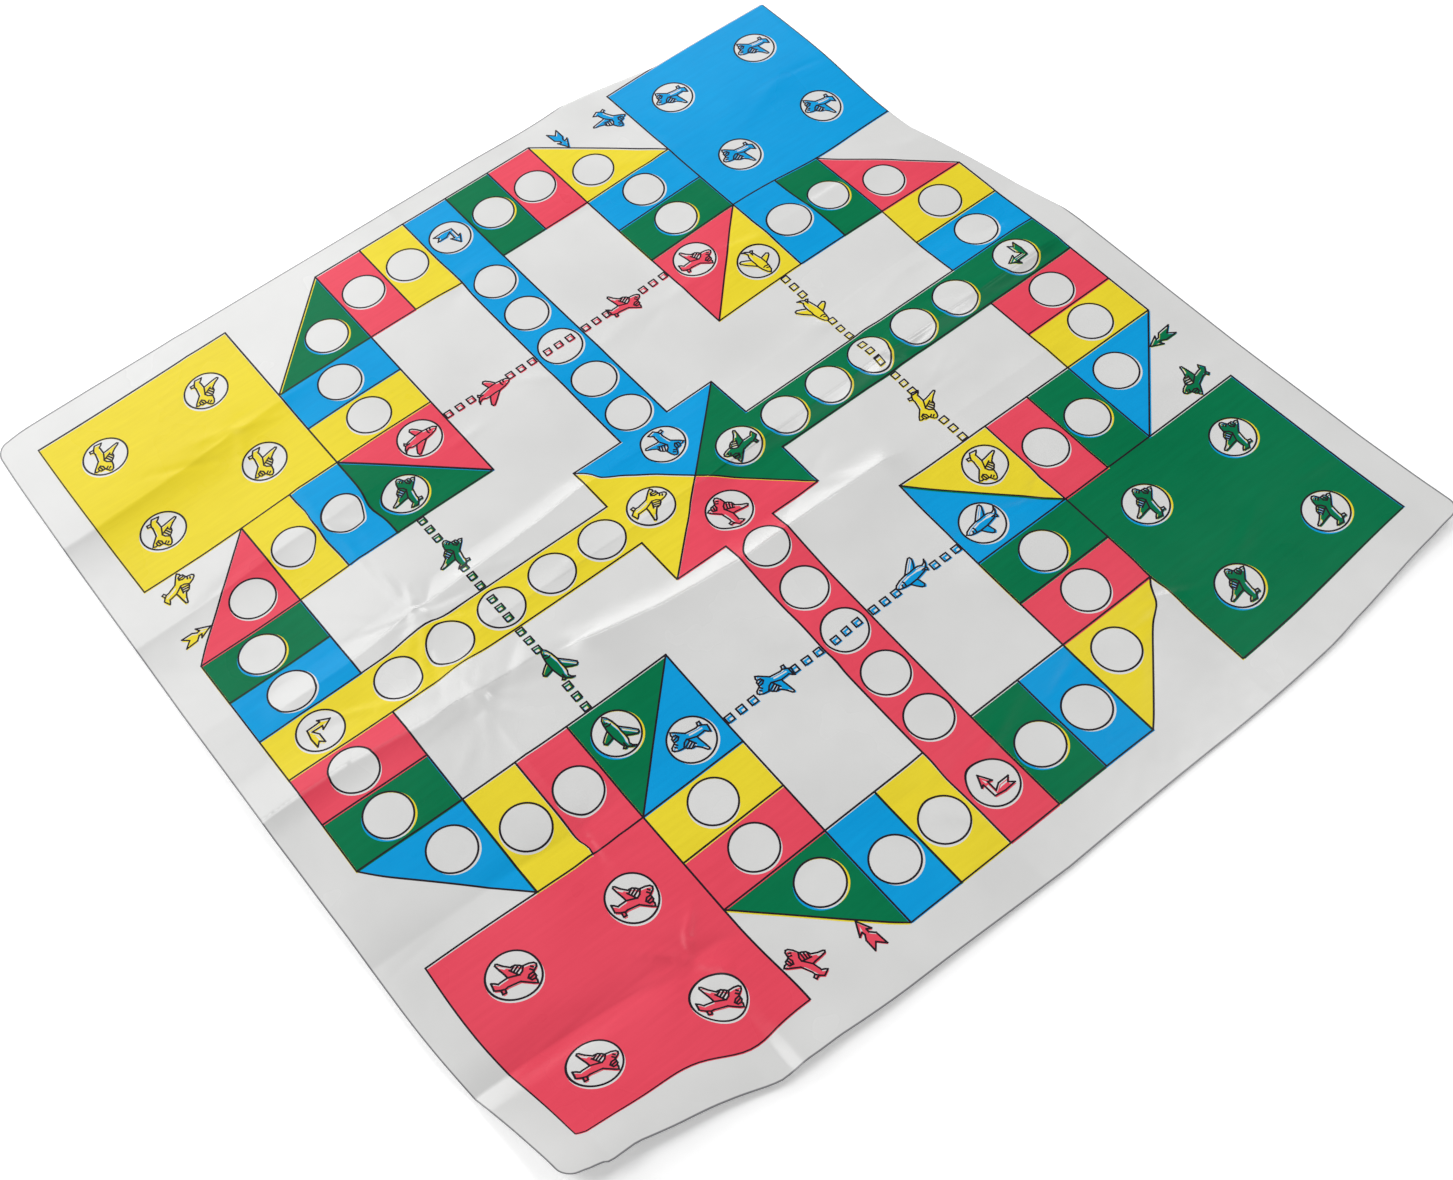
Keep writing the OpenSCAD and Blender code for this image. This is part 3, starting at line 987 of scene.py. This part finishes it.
def sheet_material(name, colour, shade, roughness, gloss, plain):
    """Printed or bare film: cloudy, streaked unless it is plain, cockled, and with painted shade along the
    sheet's edge.
    """
    material = bpy.data.materials.new(name)
    material.use_nodes = True
    tree = material.node_tree
    tree.nodes.clear()
    place = add_node(tree, "ShaderNodeTexCoord").outputs["Object"]
    streak_place = add_node(
        tree,
        "ShaderNodeMapping",
        [(place, "Vector")],
        Scale=(1 / (STREAK_WIDTH * MM), 1 / (STREAK_LENGTH * MM), 1),
    )
    streaks = add_node(
        tree, "ShaderNodeTexNoise", [(streak_place.outputs[0], "Vector")], Scale=1.0, Detail=2.0
    )
    cloud = add_node(
        tree, "ShaderNodeTexNoise", [(place, "Vector")], Scale=1 / (CLOUD * MM), Detail=3.0
    )
    both = add_node(
        tree,
        "ShaderNodeMix",
        [(streaks.outputs["Fac"], "A"), (cloud.outputs["Fac"], "B")],
        data_type="FLOAT",
        Factor=plain,
    )
    spread = add_node(
        tree,
        "ShaderNodeMapRange",
        [(both.outputs[0], "Value")],
        From_Min=NOISE_LOW,
        From_Max=NOISE_HIGH,
    )
    tint = add_node(tree, "ShaderNodeMix", [(spread.outputs[0], "Factor")], data_type="RGBA")
    tint.inputs[6].default_value = linear(shade)
    tint.inputs[7].default_value = linear(colour)
    # Painted shade along the sheet's edge: the colour is mixed towards grey by the mesh's shade share
    cut = add_node(tree, "ShaderNodeAttribute", attribute_name="painted_edge_shade")
    edge_shaded = add_node(
        tree, "ShaderNodeMix", [(cut.outputs["Fac"], 0), (tint.outputs[2], 6)], data_type="RGBA"
    )
    edge_shaded.inputs[7].default_value = linear(EDGE_SHADE_GREY)
    rough = add_node(
        tree,
        "ShaderNodeMapRange",
        [(cloud.outputs["Fac"], "Value")],
        From_Min=NOISE_LOW,
        From_Max=NOISE_HIGH,
        To_Min=roughness - ROUGH_SPREAD,
        To_Max=roughness + ROUGH_SPREAD,
    )
    cockle = add_node(
        tree, "ShaderNodeTexNoise", [(place, "Vector")], Scale=1 / (COCKLE * MM), Detail=2.0
    )
    bump = add_node(
        tree,
        "ShaderNodeBump",
        [(cockle.outputs["Fac"], "Height")],
        Strength=0.35,
        Distance=COCKLE_DEPTH * MM,
    )
    shader = add_node(
        tree,
        "ShaderNodeBsdfPrincipled",
        [
            (edge_shaded.outputs[2], "Base Color"),
            (rough.outputs[0], "Roughness"),
            (bump.outputs[0], "Normal"),
        ],
        IOR=1.5,
        Specular_IOR_Level=gloss,
    )
    add_node(tree, "ShaderNodeOutputMaterial", [(shader.outputs[0], "Surface")])
    return material


# Blown polyethylene film, white right through: greyish white with a soft gloss.
FILM_WHITE = sheet_material("White_polyethylene_film", "#dfdfde", "#d8d8d7", 0.24, 0.5, 1.0)
# Opaque flexo inks laid on the film: flat colour with faint press streaks, duller than the film. Green is
# blue ink over yellow ink, and the key lines are a near black.
INKS = {
    RED: sheet_material("Red_flexo_ink", "#ec4d62", "#e4475b", 0.3, 0.16, 0.5),
    YELLOW: sheet_material("Yellow_flexo_ink", "#efdb33", "#e6d12d", 0.3, 0.16, 0.5),
    BLUE: sheet_material("Blue_flexo_ink", "#0aa0e0", "#0697d8", 0.3, 0.1, 0.5),
    GREEN: sheet_material("Green_overprinted_flexo_ink", "#04784c", "#026f45", 0.3, 0.08, 0.5),
    KEY: sheet_material("Black_flexo_ink", "#241b24", "#1c161d", 0.3, 0.16, 0.5),
}
INK_NAMES = {RED: "red", YELLOW: "yellow", BLUE: "blue", GREEN: "green", KEY: "line"}


# Pieces

SHAPES = print_shapes()
POINTS, FACES, MIDDLES = cut_sheet(SHAPES)
FACE_INK = ink_at(SHAPES, MIDDLES[:, 0], MIDDLES[:, 1])
FACE_STRIP = np.searchsorted(np.array(CREASES), MIDDLES[:, 0]) + 1
LAID = lay(POINTS[:, 0], POINTS[:, 1])
NORMALS = laid_normals(POINTS[:, 0], POINTS[:, 1])
# Share of painted shade along the sheet's edge at each point
EDGE_SHADE = edge_shade_share(POINTS[:, 0], POINTS[:, 1])


def dress(obj, k, node):
    """Puts a piece on strip k in place of its CAD node, with its own copy of its mesh."""
    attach(obj, f"strip_{k}")
    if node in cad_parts:
        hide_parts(node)
    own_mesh(obj)


for k in STRIPS:
    on_strip = FACE_STRIP == k
    for ink, word in INK_NAMES.items():
        chosen = FACES[on_strip & (FACE_INK == ink)]
        if not len(chosen):
            continue
        piece = shell(f"{word}_print_{k}", INKS[ink], chosen, FILM_T + INK_BASE, FILM_T + INK_LIFT)
        dress(piece, k, f"{word}_ink_{k}")
    film = shell(f"film_sheet_{k}", FILM_WHITE, FACES[on_strip], 0, FILM_T)
    dress(film, k, f"film_strip_{k}")


# Studio: a white floor, a large soft key light at the near left and smaller softboxes round the sheet

FLOOR_SIZE = 2.4
FLOOR_DROP = 0.0002
FLOOR_GLOW = 0.3
ROOM_LIGHT = 0.22
# Softboxes: azimuth and elevation in degrees, distance and sides in metres, and power in watts
SOFTBOXES = {
    "key_softbox": (320, 57, 2.6, (1.3, 1.3), 30),
    "left_softbox": (288, 37, 1.1, (1.0, 0.45), 3.8),
    "low_softbox": (247, 25, 1.2, (0.7, 0.26), 2.6),
    "back_softbox": (175, 62, 1.34, (0.26, 0.18), 2.3),
    "right_softbox": (130, 50, 1.2, (0.5, 0.5), 1.3),
}


def floor_paper():
    """White matt paper, which has no gloss; a glow that only the eye and reflections see makes it white."""
    material = bpy.data.materials.new("White_matt_studio_floor")
    material.use_nodes = True
    tree = material.node_tree
    tree.nodes.clear()
    matt = add_node(tree, "ShaderNodeBsdfDiffuse", Color=linear("#f2f2f2"))
    glow = add_node(tree, "ShaderNodeEmission", Strength=FLOOR_GLOW)
    dark = add_node(tree, "ShaderNodeEmission", Strength=0.0)
    path = add_node(tree, "ShaderNodeLightPath")
    seen = add_node(
        tree,
        "ShaderNodeMath",
        [(path.outputs["Is Camera Ray"], 0), (path.outputs["Is Glossy Ray"], 1)],
        operation="MAXIMUM",
    )
    shown = add_node(
        tree,
        "ShaderNodeMixShader",
        [(seen.outputs[0], 0), (dark.outputs[0], 1), (glow.outputs[0], 2)],
    )
    total = add_node(tree, "ShaderNodeAddShader", [(matt.outputs[0], 0), (shown.outputs[0], 1)])
    add_node(tree, "ShaderNodeOutputMaterial", [(total.outputs[0], "Surface")])
    return material


def add_floor():
    """The floor under the sheet, which belongs to the stage and not to the object."""
    bpy.ops.mesh.primitive_plane_add(size=FLOOR_SIZE, location=(0, 0, -FLOOR_DROP))
    floor = bpy.context.active_object
    floor.name = "floor"
    floor.data.materials.append(floor_paper())


def add_room():
    """A faint even light from all sides, seen by the camera as a white backdrop."""
    world = bpy.data.worlds.new("studio")
    bpy.context.scene.world = world
    world.use_nodes = True
    tree = world.node_tree
    tree.nodes.clear()
    path = add_node(tree, "ShaderNodeLightPath")
    room = add_node(tree, "ShaderNodeBackground", Color=(1, 1, 1, 1), Strength=ROOM_LIGHT)
    backdrop = add_node(tree, "ShaderNodeBackground", Color=(1, 1, 1, 1), Strength=1.0)
    mixed = add_node(
        tree,
        "ShaderNodeMixShader",
        [(path.outputs["Is Camera Ray"], 0), (room.outputs[0], 1), (backdrop.outputs[0], 2)],
    )
    add_node(tree, "ShaderNodeOutputWorld", [(mixed.outputs[0], "Surface")])


def direction(azimuth, elevation):
    """From the sheet's middle outwards, with azimuth counted from the near side to the right."""
    a, e = math.radians(azimuth), math.radians(elevation)
    return Vector((math.sin(a) * math.cos(e), -math.cos(a) * math.cos(e), math.sin(e)))


def add_softbox(name, azimuth, elevation, distance, size, watts):
    """A rectangular lamp that faces the sheet's middle."""
    light = bpy.data.lights.new(name, "AREA")
    light.shape = "RECTANGLE"
    light.size, light.size_y = size
    light.energy = watts
    lamp = bpy.data.objects.new(name, light)
    bpy.context.scene.collection.objects.link(lamp)
    away = direction(azimuth, elevation)
    lamp.location = away * distance
    lamp.rotation_euler = away.to_track_quat("Z", "Y").to_euler()


# Camera of the photograph: above the near right side of the sheet, tilted a little
VIEW_AZIMUTH = 57.95
VIEW_ELEVATION = 57.5
VIEW_ROLL = -7.67
VIEW_DISTANCE = 0.5796
VIEW_TARGET = Vector((0.038, -0.0168, 0.0028))
# Focal length as a share of the picture's width, both in the photograph's pixels
FOCAL = 1793.4 / 1453


def photo_camera():
    """Sets up the camera that sees the sheet as the photograph does."""
    camera = bpy.data.cameras.new("photo_camera")
    camera.sensor_fit = "HORIZONTAL"
    camera.lens = FOCAL * camera.sensor_width
    camera.clip_start = 0.01
    holder = bpy.data.objects.new("photo_camera", camera)
    bpy.context.scene.collection.objects.link(holder)
    back = direction(VIEW_AZIMUTH, VIEW_ELEVATION)
    a, r = math.radians(VIEW_AZIMUTH), math.radians(VIEW_ROLL)
    right = Vector((math.cos(a), math.sin(a), 0))
    up = back.cross(right)
    tilted_right = right * math.cos(r) + up * math.sin(r)
    tilted_up = up * math.cos(r) - right * math.sin(r)
    turn = Matrix((tilted_right, tilted_up, back)).transposed()
    holder.matrix_world = Matrix.Translation(VIEW_TARGET + back * VIEW_DISTANCE) @ turn.to_4x4()
    bpy.context.scene.camera = holder


add_floor()
add_room()
for name, settings in SOFTBOXES.items():
    add_softbox(name, *settings)
photo_camera()
bpy.context.scene.view_settings.view_transform = "Standard"
